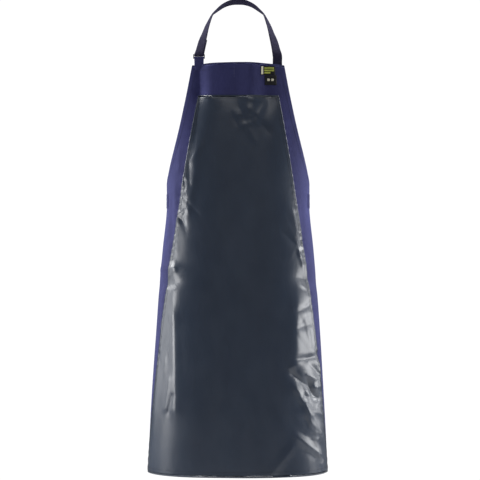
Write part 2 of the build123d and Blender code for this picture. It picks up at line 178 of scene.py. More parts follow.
# ---------------------------------------------------------------- folds and creases of the worn cloth
# Each crease runs from one (around, depth) to another, followed by its half width, its height
# outward and its sharpness from 0 to 1.
CREASES = (
    # pull lines from the tabs down the bib
    ((-0.103, -0.010), (-0.103, 0.080), 0.015, -0.0066, 0.4),
    ((-0.104, 0.080), (-0.112, 0.190), 0.016, -0.0035, 0.3),
    ((-0.068, -0.010), (-0.068, 0.090), 0.022, 0.0058, 0.0),
    ((0.034, -0.010), (0.032, 0.110), 0.024, 0.0050, 0.0),
    ((0.074, -0.010), (0.072, 0.100), 0.022, -0.0040, 0.0),
    # soft streaks on the upper left of the panel
    ((-0.108, 0.205), (-0.116, 0.300), 0.014, 0.0022, 0.1),
    ((-0.122, 0.320), (-0.130, 0.370), 0.013, 0.0018, 0.1),
    ((-0.150, 0.425), (-0.176, 0.395), 0.008, -0.0022, 0.5),
    # the left fold above the cross fold
    ((-0.168, 0.400), (-0.172, 0.540), 0.012, 0.0014, 0.4),
    ((-0.194, 0.370), (-0.194, 0.450), 0.010, -0.0016, 0.3),
    ((-0.238, 0.549), (-0.180, 0.544), 0.013, 0.0036, 0.4),
    ((-0.234, 0.592), (-0.180, 0.584), 0.016, -0.0036, 0.1),
    # the left fold below it
    ((-0.158, 0.600), (-0.152, 0.930), 0.045, 0.0030, 0.0),
    ((-0.172, 0.680), (-0.167, 0.915), 0.018, 0.0042, 0.3),
    ((-0.171, 0.580), (-0.172, 0.660), 0.020, 0.0022, 0.2),
    ((-0.221, 0.600), (-0.227, 0.700), 0.007, 0.0016, 0.5),
    ((-0.190, 0.845), (-0.199, 0.915), 0.010, 0.0022, 0.5),
    ((-0.178, 0.885), (-0.192, 0.925), 0.006, -0.0016, 0.6),
    # right side, from the waist down
    ((0.150, 0.405), (0.172, 0.500), 0.011, 0.0020, 0.4),
    ((0.168, 0.505), (0.178, 0.532), 0.007, 0.0020, 0.5),
    ((0.159, 0.650), (0.154, 0.765), 0.022, 0.0040, 0.2),
    ((0.188, 0.574), (0.234, 0.584), 0.021, -0.0044, 0.2),
    ((0.176, 0.786), (0.236, 0.780), 0.011, -0.0034, 0.3),
    ((0.152, 0.800), (0.172, 0.790), 0.010, 0.0018, 0.3),
    ((0.150, 0.828), (0.226, 0.884), 0.010, -0.0044, 0.5),
    ((0.156, 0.864), (0.196, 0.925), 0.011, 0.0036, 0.5),
    ((0.196, 0.925), (0.244, 0.988), 0.011, 0.0036, 0.5),
    ((0.165, 0.995), (0.236, 1.045), 0.012, 0.0026, 0.4),
    ((0.226, 1.036), (0.246, 1.056), 0.007, 0.0018, 0.6),
    ((0.095, 1.076), (0.142, 1.020), 0.014, 0.0018, 0.3),
    # soft dents near the top of the panel
    ((-0.100, 0.094), (-0.078, 0.097), 0.008, 0.0014, 0.4),
    ((0.026, 0.097), (0.060, 0.102), 0.009, 0.0016, 0.3),
    ((0.066, 0.118), (0.050, 0.150), 0.011, 0.0019, 0.2),
    ((0.018, 0.166), (0.054, 0.156), 0.010, 0.0016, 0.3),
    ((0.032, 0.184), (0.044, 0.205), 0.010, 0.0012, 0.3),
)
# Patches of fine crumples: middle, half sizes, how many, their usual slope in degrees, and height.
CRUMPLES = (
    ((-0.148, 0.350), (0.035, 0.120), 18, 75, 0.0013),
    ((-0.195, 0.500), (0.022, 0.055), 8, 60, 0.0008),
    ((-0.205, 0.760), (0.030, 0.170), 8, 85, 0.0007),
    ((0.165, 0.460), (0.025, 0.080), 10, 70, 0.0009),
    ((0.190, 0.680), (0.022, 0.090), 12, 60, 0.0012),
    ((0.205, 0.880), (0.040, 0.075), 20, 50, 0.0018),
    ((0.220, 1.010), (0.040, 0.050), 8, 45, 0.0010),
    ((0.036, 0.135), (0.045, 0.045), 8, 20, 0.0010),
)
CRUMPLE_SEED = 11
CRUMPLE_TURN = 28
CRUMPLE_HALF_LENGTH = (0.010, 0.028)
CRUMPLE_REACH = (0.007, 0.013)
CRUMPLE_HEIGHT_SHARE = (0.6, 1.4)
CRUMPLE_SHARPNESS = 0.5
# The cloth's slight puckers along the panel's sewn edges: their height, how far they reach from
# the seam, the length of one, and the lengths over which they drift and come in groups
PUCKER = 0.0005
PUCKER_REACH = 0.010
PUCKER_WAVE = 0.0031
PUCKER_DRIFT = 0.071
PUCKER_GROUP = 0.047
# Heights of the hang's wide and fine waves, which grow towards the hem, and of the overall ripple
HANG_WIDE = 0.0018
HANG_FINE = 0.0009
RIPPLE = 0.0007


def crease(around, depth, start, end, reach, height, sharp):
    """Height of one crease: a soft bell mixed with a sharper ridge, fading past its ends."""
    start, end = np.array(start), np.array(end)
    run = end - start
    length = np.hypot(*run)
    along = ((around - start[0]) * run[0] + (depth - start[1]) * run[1]) / length
    across = ((around - start[0]) * run[1] - (depth - start[1]) * run[0]) / length
    past = np.maximum(np.maximum(-along, along - length), 0) / (1.6 * reach)
    far = np.abs(across) / reach
    bell = np.exp(-far * far)
    ridge = np.exp(-1.6 * far)
    return height * ((1 - sharp) * bell + sharp * ridge) * np.exp(-past * past)


def crumple_lines():
    """The fine crumples' own creases, drawn at random from a fixed seed."""
    draw = np.random.default_rng(CRUMPLE_SEED)
    lines = []
    for (around, depth), (wide, tall), count, slope, height in CRUMPLES:
        for _ in range(count):
            offset = np.clip(draw.normal(size=2) / 2, -1, 1) * (wide, tall)
            middle = np.array([around, depth]) + offset
            angle = math.radians(slope + draw.normal() * CRUMPLE_TURN) * (1 if around > 0 else -1)
            half = draw.uniform(*CRUMPLE_HALF_LENGTH) * np.array([math.cos(angle), math.sin(angle)])
            reach = draw.uniform(*CRUMPLE_REACH)
            lift = height * draw.choice([-1, 1]) * draw.uniform(*CRUMPLE_HEIGHT_SHARE)
            lines.append((middle - half, middle + half, reach, lift, CRUMPLE_SHARPNESS))
    return tuple(lines)


ALL_CREASES = CREASES + crumple_lines()


def folds(around, depth):
    """Outward height of all the cloth's folds."""
    total = np.zeros_like(around)
    for line in ALL_CREASES:
        total += crease(around, depth, *line)
    seam = np.exp(-(((np.abs(around) - panel_half(depth)) / PUCKER_REACH) ** 2))
    pucker = np.sin(depth / PUCKER_WAVE + 2.5 * np.sin(depth / PUCKER_DRIFT))
    total += seam * PUCKER * pucker * np.sin(depth / PUCKER_GROUP + 0.6)
    hang = np.clip(depth / LENGTH, 0, 1) ** 2
    total += hang * HANG_WIDE * np.sin(around / 0.052 + 0.8 + 0.5 * np.sin(depth / 0.30))
    total += hang * HANG_FINE * np.sin(around / 0.026 - 1.7 + depth / 0.55)
    across = np.sin(around / 0.038 + 2.1 * np.sin(depth / 0.21))
    total += RIPPLE * across * np.sin(depth / 0.11 + 1.0)
    return total


# Half the distance over which the cloth's direction is measured
NEAR = 0.0008


def surface(around, depth):
    """The inner face of the draped cloth."""
    around, depth = np.broadcast_arrays(np.asarray(around, float), np.asarray(depth, float))
    return worn(around, depth, folds(around, depth))


def draped(around, depth, out=0.0):
    """Points a distance outward from the cloth's inner face, and the outward directions."""
    across = surface(around + NEAR, depth) - surface(around - NEAR, depth)
    up = surface(around, depth - NEAR) - surface(around, depth + NEAR)
    outs = np.cross(across, up)
    outs /= np.linalg.norm(outs, axis=-1, keepdims=True)
    return surface(around, depth) + outs * np.asarray(out, float)[..., None], outs


# ---------------------------------------------------------------- mesh helpers
def new_mesh(name, verts, faces, uvs=None, material=None):
    """A smooth-shaded mesh object with outward normals."""
    mesh = bpy.data.meshes.new(name)
    mesh.from_pydata([tuple(v) for v in verts], [], faces)
    if uvs is not None:
        layer = mesh.uv_layers.new(name="cloth")
        index = np.empty(len(mesh.loops), int)
        mesh.loops.foreach_get("vertex_index", index)
        layer.data.foreach_set("uv", np.asarray(uvs, np.float32)[index].ravel())
    mesh.polygons.foreach_set("use_smooth", [True] * len(mesh.polygons))
    obj = bpy.data.objects.new(name, mesh)
    bpy.context.scene.collection.objects.link(obj)
    if material:
        mesh.materials.append(material)
    bm = bmesh.new()
    bm.from_mesh(mesh)
    bmesh.ops.recalc_face_normals(bm, faces=bm.faces)
    bm.to_mesh(mesh)
    bm.free()
    return obj


def grid_faces(rows, cols, closed=False):
    """Quads of a grid of points; closed joins the last column to the first."""
    faces = []
    for i in range(rows - 1):
        for j in range(cols if closed else cols - 1):
            a, b = i * cols + j, i * cols + (j + 1) % cols
            faces.append((a, b, b + cols, a + cols))
    return faces


# Places of the two extra rows beside each edge, as shares of the sheet, and how much of its
# thickness each face gives up at the very edge
RIM = (0.0008, 0.006)
RIM_THINNING = 0.35


def sheet_piece(name, around, depth, inner, thickness, material):
    """A thin closed sheet over a grid of (around, depth), thinner at its rim."""
    rows, cols = around.shape
    middle = inner + thickness / 2
    edge_in = np.zeros((rows, cols))
    for edge in (np.s_[0, :], np.s_[-1, :], np.s_[:, 0], np.s_[:, -1]):
        edge_in[edge] = thickness * RIM_THINNING
    front, _ = draped(around, depth, middle + thickness / 2 - edge_in)
    back, _ = draped(around, depth, middle - thickness / 2 + edge_in)
    uv = np.stack([around, depth], axis=-1).reshape(-1, 2)
    count = rows * cols
    faces = grid_faces(rows, cols)
    faces += [tuple(count + k for k in face[::-1]) for face in grid_faces(rows, cols)]
    rim = list(range(cols))
    rim += [i * cols + cols - 1 for i in range(1, rows)]
    rim += [(rows - 1) * cols + j for j in range(cols - 2, -1, -1)]
    rim += [i * cols for i in range(rows - 2, 0, -1)]
    for a, b in zip(rim, rim[1:] + rim[:1]):
        faces.append((a, a + count, b + count, b))
    verts = np.concatenate([front.reshape(-1, 3), back.reshape(-1, 3)])
    return new_mesh(name, verts, faces, np.concatenate([uv, uv]), material)


def rimmed(count):
    """Even shares from 0 to 1, with two more close to each end for a crisp rim."""
    near = np.array([0, *RIM])
    return np.concatenate([near, np.linspace(0, 1, count - 4)[1:-1], 1 - near[::-1]])


# Rounds in which a curved top and the sides' outline come to agree
OUTLINE_ROUNDS = 8


def cut(left, right, top, bottom, cols, rows):
    """A grid of (around, depth) between two side curves and two depths; top may vary around."""
    v, t = rimmed(rows)[:, None], rimmed(cols)[None, :]
    depth = top(0.0) + v * (bottom - top(0.0)) + 0 * t
    for _ in range(OUTLINE_ROUNDS):
        around = left(depth) + t * (right(depth) - left(depth)) + 0 * depth
        depth = top(around) + v * (bottom - top(around))
    return around, depth


def spline(points, steps):
    """A Catmull-Rom curve through points, with steps samples a span."""
    p = np.array(points, float)
    p = np.concatenate([[2 * p[0] - p[1]], p, [2 * p[-1] - p[-2]]])
    found = []
    for k in range(1, len(p) - 2):
        for t in np.arange(steps) / steps:
            a, b, c, d = p[k - 1 : k + 3]
            bend = 2 * a - 5 * b + 4 * c - d
            found.append(0.5 * (2 * b + (c - a) * t + bend * t * t + (3 * b - a - 3 * c + d) * t**3))
    found.append(p[-2])
    return np.array(found)


# Points across each face of a strap, and its edges' height as a share of its thickness
WEB_PROFILE = 9
WEB_EDGE = 0.45


def ribbon(name, path, outs, material, width=STRAP_W, thickness=STRAP_T, crown=0.12, curl=0.0):
    """A strap along path, its outer face along outs, dished by crown, its edges curled inward."""
    path, outs = np.array(path, float), np.array(outs, float)
    along = np.gradient(path, axis=0)
    along /= np.linalg.norm(along, axis=1, keepdims=True)
    outs = outs - along * (outs * along).sum(1, keepdims=True)
    outs /= np.linalg.norm(outs, axis=1, keepdims=True)
    across = np.cross(along, outs)
    reach = np.concatenate([[0], np.cumsum(np.linalg.norm(np.diff(path, axis=0), axis=1))])
    edge = np.linspace(-1, 1, WEB_PROFILE)
    lift = 1 - crown * (1 - np.abs(edge) ** 6)
    lift[[0, -1]] = WEB_EDGE
    ring = list(zip(edge, lift)) + [(w, -h) for w, h in zip(edge[::-1], lift[::-1])]
    widths, curls = width + 0 * reach, curl + 0 * reach
    verts, uvs = [], []
    for p, a, o, s, wide, bow in zip(path, across, outs, reach, widths, curls):
        for w, h in ring:
            verts.append(p + a * (w * wide / 2) + o * (h * thickness / 2 - bow * w * w))
            uvs.append((w * wide / 2, s))
    cols = len(ring)
    faces = grid_faces(len(path), cols, closed=True)
    faces += [tuple(range(cols))[::-1], tuple((len(path) - 1) * cols + k for k in range(cols))]
    return new_mesh(name, verts, faces, uvs, material)


STITCH_PITCH = 0.0034
STITCH_LENGTH = 0.0027
STITCH_PROBE = 0.001
THREAD = 0.0006
# A stitch's sections: share of its length from the middle, height as a share of the thread's
# thickness, and thickness as a share of it
STITCH_SECTIONS = ((-0.5, -0.55, 0.5), (-0.28, 0.0, 1.0), (0.28, 0.0, 1.0), (0.5, -0.55, 0.5))
STITCH_ANGLES = (0, 60, 120, 180, 240, 300)


def bead(centre, along, up, length, width, height):
    """One stitch: a six-sided bar that dives at both ends."""
    along, up = np.array(along), np.array(up)
    side = np.cross(along, up)
    verts = []
    for share, sink, slim in STITCH_SECTIONS:
        base = np.array(centre) + along * length * share + up * height * sink
        for a in map(math.radians, STITCH_ANGLES):
            sideways = side * math.cos(a) * width * slim / 2
            verts.append(base + sideways + up * math.sin(a) * height * slim / 2)
    sides, count = len(STITCH_ANGLES), len(verts)
    faces = grid_faces(len(STITCH_SECTIONS), sides, closed=True)
    faces += [tuple(range(sides))[::-1], tuple(range(count - sides, count))]
    return verts, faces


def at(s, reach, values):
    """The value at distance s along a line whose points stand at reach."""
    return np.array([np.interp(s, reach, values[:, k]) for k in range(3)])


def stitches(name, lines, material):
    """Stitches along lines of (points, ups), all in one mesh."""
    verts, faces = [], []
    for points, ups in lines:
        step = np.linalg.norm(np.diff(points, axis=0), axis=1)
        reach = np.concatenate([[0], np.cumsum(step)])
        count = max(2, int(reach[-1] / STITCH_PITCH))
        for s in (np.arange(count) + 0.5) / count * reach[-1]:
            here, up = at(s, reach, points), at(s, reach, ups)
            ahead, behind = at(s + STITCH_PROBE, reach, points), at(s - STITCH_PROBE, reach, points)
            along = (ahead - behind) / np.linalg.norm(ahead - behind)
            up = up - along * (up @ along)
            up /= np.linalg.norm(up)
            more, quads = bead(here, along, up, STITCH_LENGTH, THREAD, THREAD)
            faces += [tuple(len(verts) + k for k in quad) for quad in quads]
            verts += more
    return new_mesh(name, verts, faces, None, material)


# ---------------------------------------------------------------- materials
def material(name):
    """A new material, with its nodes, links and main shader."""
    mat = bpy.data.materials.new(name)
    mat.use_nodes = True
    nodes = mat.node_tree.nodes
    return mat, nodes, mat.node_tree.links, nodes["Principled BSDF"]


def add(nodes, kind, **values):
    """A new node with its inputs, or else its own settings, set to values."""
    node = nodes.new(kind)
    for key, value in values.items():
        if key in node.inputs:
            node.inputs[key].default_value = value
        else:
            setattr(node, key.lower().replace(" ", "_"), value)
    return node


def ramp(nodes, stops):
    """A colour ramp through (position, colour) stops."""
    node = nodes.new("ShaderNodeValToRGB")
    elements = node.color_ramp.elements
    while len(elements) < len(stops):
        elements.new(0.5)
    for element, (position, colour) in zip(elements, stops):
        element.position = position
        element.color = (*colour, 1)
    return node


def mapped(nodes, links, scale, turn=0.0):
    """The cloth's own coordinates, scaled and turned."""
    coords = nodes.new("ShaderNodeTexCoord")
    mapping = nodes.new("ShaderNodeMapping")
    mapping.inputs["Scale"].default_value = scale
    mapping.inputs["Rotation"].default_value = (0, 0, turn)
    links.new(coords.outputs["UV"], mapping.inputs["Vector"])
    return mapping.outputs["Vector"]


def bump(nodes, links, height, shader, strength, distance, before=None):
    """Relief from height, on top of the bump node before it."""
    node = add(nodes, "ShaderNodeBump", Strength=strength, Distance=distance)
    links.new(height, node.inputs["Height"])
    if before:
        links.new(before.outputs["Normal"], node.inputs["Normal"])
    links.new(node.outputs["Normal"], shader.inputs["Normal"])
    return node


def twill(name, dark, light, worn_colour):
    """Navy twill: fine diagonal ribs, yarn-to-yarn variation and slight fading."""
    mat, nodes, links, shader = material(name)
    ribs = add(nodes, "ShaderNodeTexWave", Scale=1.0, Distortion=1.5, Detail=2.0)
    ribs.bands_direction = "X"
    links.new(mapped(nodes, links, (900, 900, 900), math.radians(58)), ribs.inputs["Vector"])
    yarn = add(nodes, "ShaderNodeTexNoise", Scale=1.0, Detail=5.0, Roughness=0.65)
    links.new(mapped(nodes, links, (420, 60, 60)), yarn.inputs["Vector"])
    fade = add(nodes, "ShaderNodeTexNoise", Scale=1.0, Detail=4.0, Roughness=0.55)
    links.new(mapped(nodes, links, (9, 4, 4)), fade.inputs["Vector"])
    colour = ramp(nodes, ((0.30, dark), (0.62, light), (0.85, worn_colour)))
    mix = add(nodes, "ShaderNodeMath", operation="MULTIPLY_ADD")
    mix.inputs[1].default_value = 0.45
    links.new(yarn.outputs["Fac"], mix.inputs[0])
    links.new(fade.outputs["Fac"], mix.inputs[2])
    shift = add(nodes, "ShaderNodeMath", operation="SUBTRACT")
    shift.inputs[1].default_value = 0.22
    links.new(mix.outputs[0], shift.inputs[0])
    links.new(shift.outputs[0], colour.inputs["Fac"])
    links.new(colour.outputs["Color"], shader.inputs["Base Color"])
    shader.inputs["Roughness"].default_value = 0.82
    shader.inputs["Specular IOR Level"].default_value = 0.25
    shader.inputs["Sheen Weight"].default_value = 0.22
    shader.inputs["Sheen Roughness"].default_value = 0.45
    shader.inputs["Sheen Tint"].default_value = (0.30, 0.34, 0.85, 1)
    first = bump(nodes, links, ribs.outputs["Fac"], shader, 0.55, 0.00012)
    bump(nodes, links, yarn.outputs["Fac"], shader, 0.35, 0.0002, first)
    return mat


def coated(name):
    """Coated cloth: a smooth dark skin with faint grain, scuffs and shallow crumples."""
    mat, nodes, links, shader = material(name)
    tone = add(nodes, "ShaderNodeTexNoise", Scale=1.0, Detail=4.0, Roughness=0.6)
    links.new(mapped(nodes, links, (7, 3.5, 4)), tone.inputs["Vector"])
    colour = ramp(nodes, ((0.0, (0.0042, 0.0115, 0.0290)), (1.0, (0.0165, 0.0320, 0.0620))))
    links.new(tone.outputs["Fac"], colour.inputs["Fac"])
    links.new(colour.outputs["Color"], shader.inputs["Base Color"])
    scuff = add(nodes, "ShaderNodeTexNoise", Scale=1.0, Detail=3.0, Roughness=0.55)
    links.new(mapped(nodes, links, (26, 14, 20)), scuff.inputs["Vector"])
    rough = add(nodes, "ShaderNodeMapRange")
    rough.inputs["From Min"].default_value = 0.35
    rough.inputs["From Max"].default_value = 0.70
    rough.inputs["To Min"].default_value = 0.30
    rough.inputs["To Max"].default_value = 0.40
    links.new(scuff.outputs["Fac"], rough.inputs["Value"])
    links.new(rough.outputs["Result"], shader.inputs["Roughness"])
    shader.inputs["Specular IOR Level"].default_value = 0.6
    shader.inputs["Coat Weight"].default_value = 0.9
    shader.inputs["Coat Roughness"].default_value = 0.25
    crumple = add(nodes, "ShaderNodeTexNoise", Scale=1.0, Detail=2.5, Roughness=0.5, Distortion=0.8)
    links.new(mapped(nodes, links, (30, 17, 20), 0.4), crumple.inputs["Vector"])
    grain = add(nodes, "ShaderNodeTexNoise", Scale=1.0, Detail=3.0, Roughness=0.6)
    links.new(mapped(nodes, links, (1400, 1400, 1400)), grain.inputs["Vector"])
    first = bump(nodes, links, crumple.outputs["Fac"], shader, 0.5, 0.0016)
    second = bump(nodes, links, scuff.outputs["Fac"], shader, 0.30, 0.0010, first)
    bump(nodes, links, grain.outputs["Fac"], shader, 0.15, 0.00006, second)
    return mat


def webbing(name, dark, light):
    """Woven strap: ribs across it, yarn-to-yarn variation and a matt surface."""
    mat, nodes, links, shader = material(name)
    ribs = add(nodes, "ShaderNodeTexWave", Scale=1.0, Distortion=0.6, Detail=1.0)
    ribs.bands_direction = "Y"
    links.new(mapped(nodes, links, (700, 620, 620)), ribs.inputs["Vector"])
    yarn = add(nodes, "ShaderNodeTexNoise", Scale=1.0, Detail=4.0, Roughness=0.6)
    links.new(mapped(nodes, links, (900, 160, 160)), yarn.inputs["Vector"])
    colour = ramp(nodes, ((0.32, dark), (0.72, light)))
    links.new(yarn.outputs["Fac"], colour.inputs["Fac"])
    links.new(colour.outputs["Color"], shader.inputs["Base Color"])
    shader.inputs["Roughness"].default_value = 0.80
    shader.inputs["Specular IOR Level"].default_value = 0.25
    shader.inputs["Sheen Weight"].default_value = 0.05
    shader.inputs["Sheen Roughness"].default_value = 0.5
    shader.inputs["Sheen Tint"].default_value = (0.35, 0.36, 0.80, 1)
    first = bump(nodes, links, ribs.outputs["Fac"], shader, 0.6, 0.00025)
    bump(nodes, links, yarn.outputs["Fac"], shader, 0.3, 0.0002, first)
    return mat


def woven_label(name, dark, light):
    """Woven label cloth or thread: very fine ribs and yarn-to-yarn variation."""
    mat, nodes, links, shader = material(name)
    ribs = add(nodes, "ShaderNodeTexWave", Scale=1500.0, Distortion=0.4)
    ribs.bands_direction = "Z"
    yarn = add(nodes, "ShaderNodeTexNoise", Scale=900.0, Detail=3.0)
    coords = nodes.new("ShaderNodeTexCoord")
    for texture in (ribs, yarn):
        links.new(coords.outputs["Object"], texture.inputs["Vector"])
    colour = ramp(nodes, ((0.3, dark), (0.7, light)))
    links.new(yarn.outputs["Fac"], colour.inputs["Fac"])
    links.new(colour.outputs["Color"], shader.inputs["Base Color"])
    shader.inputs["Roughness"].default_value = 0.7
    shader.inputs["Specular IOR Level"].default_value = 0.3
    bump(nodes, links, ribs.outputs["Fac"], shader, 0.4, 0.0001)
    return mat


NAVY = twill("navy_twill", (0.026, 0.027, 0.088), (0.040, 0.042, 0.138), (0.062, 0.066, 0.196))
COATED = coated("coated_cloth")
WEB = webbing("navy_webbing", (0.010, 0.0085, 0.027), (0.024, 0.020, 0.060))
LABEL_BLACK = woven_label("label_black", (0.006, 0.006, 0.007), (0.014, 0.014, 0.015))
LABEL_CREAM = woven_label("label_cream", (0.62, 0.58, 0.42), (0.80, 0.77, 0.62))
LABEL_LIME = woven_label("label_lime", (0.34, 0.38, 0.05), (0.50, 0.54, 0.11))
THREAD_NAVY = woven_label("thread_navy", (0.020, 0.021, 0.055), (0.045, 0.047, 0.115))
THREAD_LIGHT = woven_label("thread_light", (0.09, 0.10, 0.20), (0.16, 0.17, 0.32))
THREAD_DARK = woven_label("thread_dark", (0.012, 0.013, 0.020), (0.026, 0.028, 0.040))

# ---------------------------------------------------------------- cloth body, panel and hems
CLOTH_GAP = 0.00015
PANEL_SHORT = 0.0005
HEM_INSET = 0.0008
HEM_END_GAP = 0.002
ARM_HEM_START = 0.026
panel_inner = BODY_T + CLOTH_GAP


def level(value):
    """A side or top curve that stays at one value."""
    return lambda x: value + 0 * x


def flat_area(half, top, bottom):
    """Area of a flat cut with this half width, between two depths."""
    depth = np.linspace(top, bottom, 400)
    return float(np.trapz(2 * half(depth), depth))


around, depth = cut(lambda d: -half_width(d), half_width, bib_top, LENGTH, 141, 281)
body = sheet_piece("apron_cloth", around, depth, 0.0, BODY_T, NAVY)
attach(body, "apron")
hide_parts("apron_body")

panel_low = LENGTH - PANEL_SHORT
around, depth = cut(lambda d: -panel_half(d), panel_half, level(PANEL_TOP), panel_low, 141, 331)
panel = sheet_piece("coated_front_panel", around, depth, panel_inner, PANEL_T, COATED)
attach(panel, "apron")
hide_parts("front_panel")


def hem_piece(name, node, left, right, top, bottom, cols, rows):
    """A turned hem behind the cloth, between two side curves and two depths."""
    around, depth = cut(left, right, top, bottom, cols, rows)
    piece = sheet_piece(name, around, depth, -CLOTH_GAP - HEM_T, HEM_T, NAVY)
    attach(piece, "apron")
    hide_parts(node)
    return piece


def edge_band(side, start, stop, rows):
    """A turned edge on one side of the cloth, between two depths."""

    def outer(d):
        return half_width(d) - HEM_INSET

    def inner(d):
        return half_width(d) - EDGE_WIDTH

    pair = (inner, outer) if side > 0 else (lambda d: -outer(d), lambda d: -inner(d))
    return (*pair, level(start), stop, 5, rows)


def level_band(half, top, bottom, cols):
    """A turned edge across the cloth, between a top curve and a depth."""
    return (lambda d: -half, lambda d: half, top, bottom, cols, 7)


hem_low = LENGTH - HEM_INSET
bib_band = level_band(BIB_HALF - HEM_END_GAP, lambda a: bib_top(a) + HEM_INSET, HEM_WIDTH, 61)
low_band = level_band(PANEL_HEM_HALF - HEM_END_GAP, level(LENGTH - HEM_WIDTH), hem_low, 141)
hems = [
    hem_piece("bib_hem_fold", "bib_hem", *bib_band),
    hem_piece("bottom_hem_fold", "bottom_hem", *low_band),
]
for side, word in SIDES:
    arm_band = edge_band(side, ARM_HEM_START, WAIST_DEPTH - HEM_END_GAP, 81)
    hems.append(hem_piece("arm_hem_fold_" + word, "arm_hem_" + word, *arm_band))
    side_band = edge_band(side, WAIST_DEPTH, hem_low, 161)
    hems.append(hem_piece("side_hem_fold_" + word, "side_hem_" + word, *side_band))

flat_area(half_width, 0, LENGTH)
flat_area(panel_half, PANEL_TOP, LENGTH)

# Corner patches over the sewn ends of the waist strap
PATCH = 0.038
PATCH_START = 0.217
for side, word in SIDES:
    left, right = sorted((side * PATCH_START, side * (PATCH_START + PATCH)))
    top, bottom = WAIST_STRAP_DEPTH - PATCH / 2, WAIST_STRAP_DEPTH + PATCH / 2
    around, depth = cut(level(left), level(right), level(top), bottom, 19, 19)
    patch = sheet_piece("waist_corner_patch_" + word, around, depth, BODY_T + CLOTH_GAP, HEM_T, NAVY)
    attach(patch, "apron")
    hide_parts("waist_patch_" + word)

# ---------------------------------------------------------------- sewing on the cloth
FRONT = BODY_T + THREAD * 0.35
PANEL_FRONT = panel_inner + PANEL_T + THREAD * 0.3
PATCH_FRONT = BODY_T + CLOTH_GAP + HEM_T + THREAD * 0.3
# Distances of the sewing lines from the edges
PANEL_SEAMS = (0.003, 0.009)
PANEL_LOW_SEAM = 0.015
BIB_SEAMS = (0.0025, 0.017)
EDGE_SEAM = 0.011
PATCH_SEAM = 0.003
# Distances of a sewing line's ends from the edges that they run towards
TOP_SEAM_END = 0.004
SIDE_SEAM_END = 0.004
LOW_SEAM_END = 0.006
BIB_SEAM_END = 0.006
EDGE_SEAM_ENDS = (0.010, 0.006)

depths = np.linspace(PANEL_TOP + PANEL_SEAMS[0], LENGTH - SIDE_SEAM_END, 260)
panel_lines = []
for inset in PANEL_SEAMS:
    for side in (-1, 1):
        panel_lines.append(draped(side * (panel_half(depths) - inset), depths, PANEL_FRONT))
across = np.linspace(-1, 1, 120)
for inset in PANEL_SEAMS:
    seam_depth = PANEL_TOP + inset + 0 * across
    panel_lines.append(draped(across * (PANEL_TOP_HALF - TOP_SEAM_END), seam_depth, PANEL_FRONT))
seam_depth = LENGTH - PANEL_LOW_SEAM + 0 * across
panel_lines.append(draped(across * (PANEL_HEM_HALF - LOW_SEAM_END), seam_depth, PANEL_FRONT))
sewing = stitches("panel_stitching", panel_lines, THREAD_DARK)
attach(sewing, "apron")

hem_lines = []
for inset in BIB_SEAMS:
    bib_around = across * (BIB_HALF - BIB_SEAM_END)
    hem_lines.append(draped(bib_around, bib_top(bib_around) + inset, FRONT))
edge_depths = np.linspace(EDGE_SEAM_ENDS[0], LENGTH - EDGE_SEAM_ENDS[1], 300)
for side in (-1, 1):
    hem_lines.append(draped(side * (half_width(edge_depths) - EDGE_SEAM), edge_depths, FRONT))
low, high = PATCH_START + PATCH_SEAM, PATCH_START + PATCH - PATCH_SEAM
top = WAIST_STRAP_DEPTH - PATCH / 2 + PATCH_SEAM
bottom = WAIST_STRAP_DEPTH + PATCH / 2 - PATCH_SEAM
# Round the patch's edge, then across both diagonals
patch_route = ((low, top), (high, top), (high, bottom), (low, bottom), (low, top), (high, bottom))
patch_route += ((high, top), (low, bottom))
share = np.linspace(0, 1, 12)
for side in (-1, 1):
    for (a, b), (c, d) in zip(patch_route[:-1], patch_route[1:]):
        hem_lines.append(draped(side * (a + (c - a) * share), b + (d - b) * share, PATCH_FRONT))
sewing = stitches("hem_stitching", hem_lines, THREAD_NAVY)
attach(sewing, "apron")

# ---------------------------------------------------------------- neck strap, tabs and buckle
BAR_OFFSET = BAR_CLEAR + STRAP_T / 2
BAR_Z = HINGE.z + BAR_PITCH
# The strap's middle line on the +X side, from the bib up to the nape: each point and its
# outward direction
NECK_RISE = (
    ((0.1010, -0.1345, -0.147), (0.36, -0.90, 0.22)),
    ((0.0945, -0.117, -0.117), (0.49, -0.65, 0.58)),
    ((0.0875, -0.096, -0.091), (0.69, -0.45, 0.57)),
    ((0.081, -0.076, -0.068), (0.76, -0.35, 0.55)),
    ((0.073, -0.053, -0.044), (0.82, -0.18, 0.55)),
    ((0.0645, -0.038, -0.031), (0.76, 0.00, 0.65)),
    ((0.051, -0.022, -0.018), (0.72, 0.22, 0.65)),
    ((0.033, -0.008, -0.0065), (0.46, 0.38, 0.80)),
    ((0.016, -0.0015, -0.0005), (0.22, 0.47, 0.86)),
)
NAPE_TILT = math.radians(60)
NAPE_OUT = np.array([0, math.cos(NAPE_TILT), math.sin(NAPE_TILT)])
TAIL_DROP = 0.0036
TAB_FOOT = 0.022
TAB_FULLNESS = 0.00088
TAB_T = 0.0012
TAB_BULGE = 0.0016
TAB_FOOT_W = 0.0225
TAB_WIDENING = 0.0029
FRONT_WAY = np.array([0, -1.0, 0])
# The sewn end's points, above and below the hinge and the bib's top line
SEWN_ABOVE_HINGE = 0.004
SEWN_BELOW_HINGE = 0.006
SEWN_BELOW_BIB = 0.006
# Where the strap's edges curl most as it turns over the collar, over what height, and how far
CURL_Z = -0.032
CURL_REACH = 0.022
CURL = 0.0026


def turn(z, radius, start, stop, steps, x):
    """Points and outward directions round a buckle bar; angles go from -Y upward."""
    points, outs = [], []
    for angle in np.radians(np.linspace(start, stop, steps)):
        way = np.array([0, -math.cos(angle), math.sin(angle)])
        points.append(np.array([x, HINGE.y, z]) + way * radius)
        outs.append(way)
    return points, outs


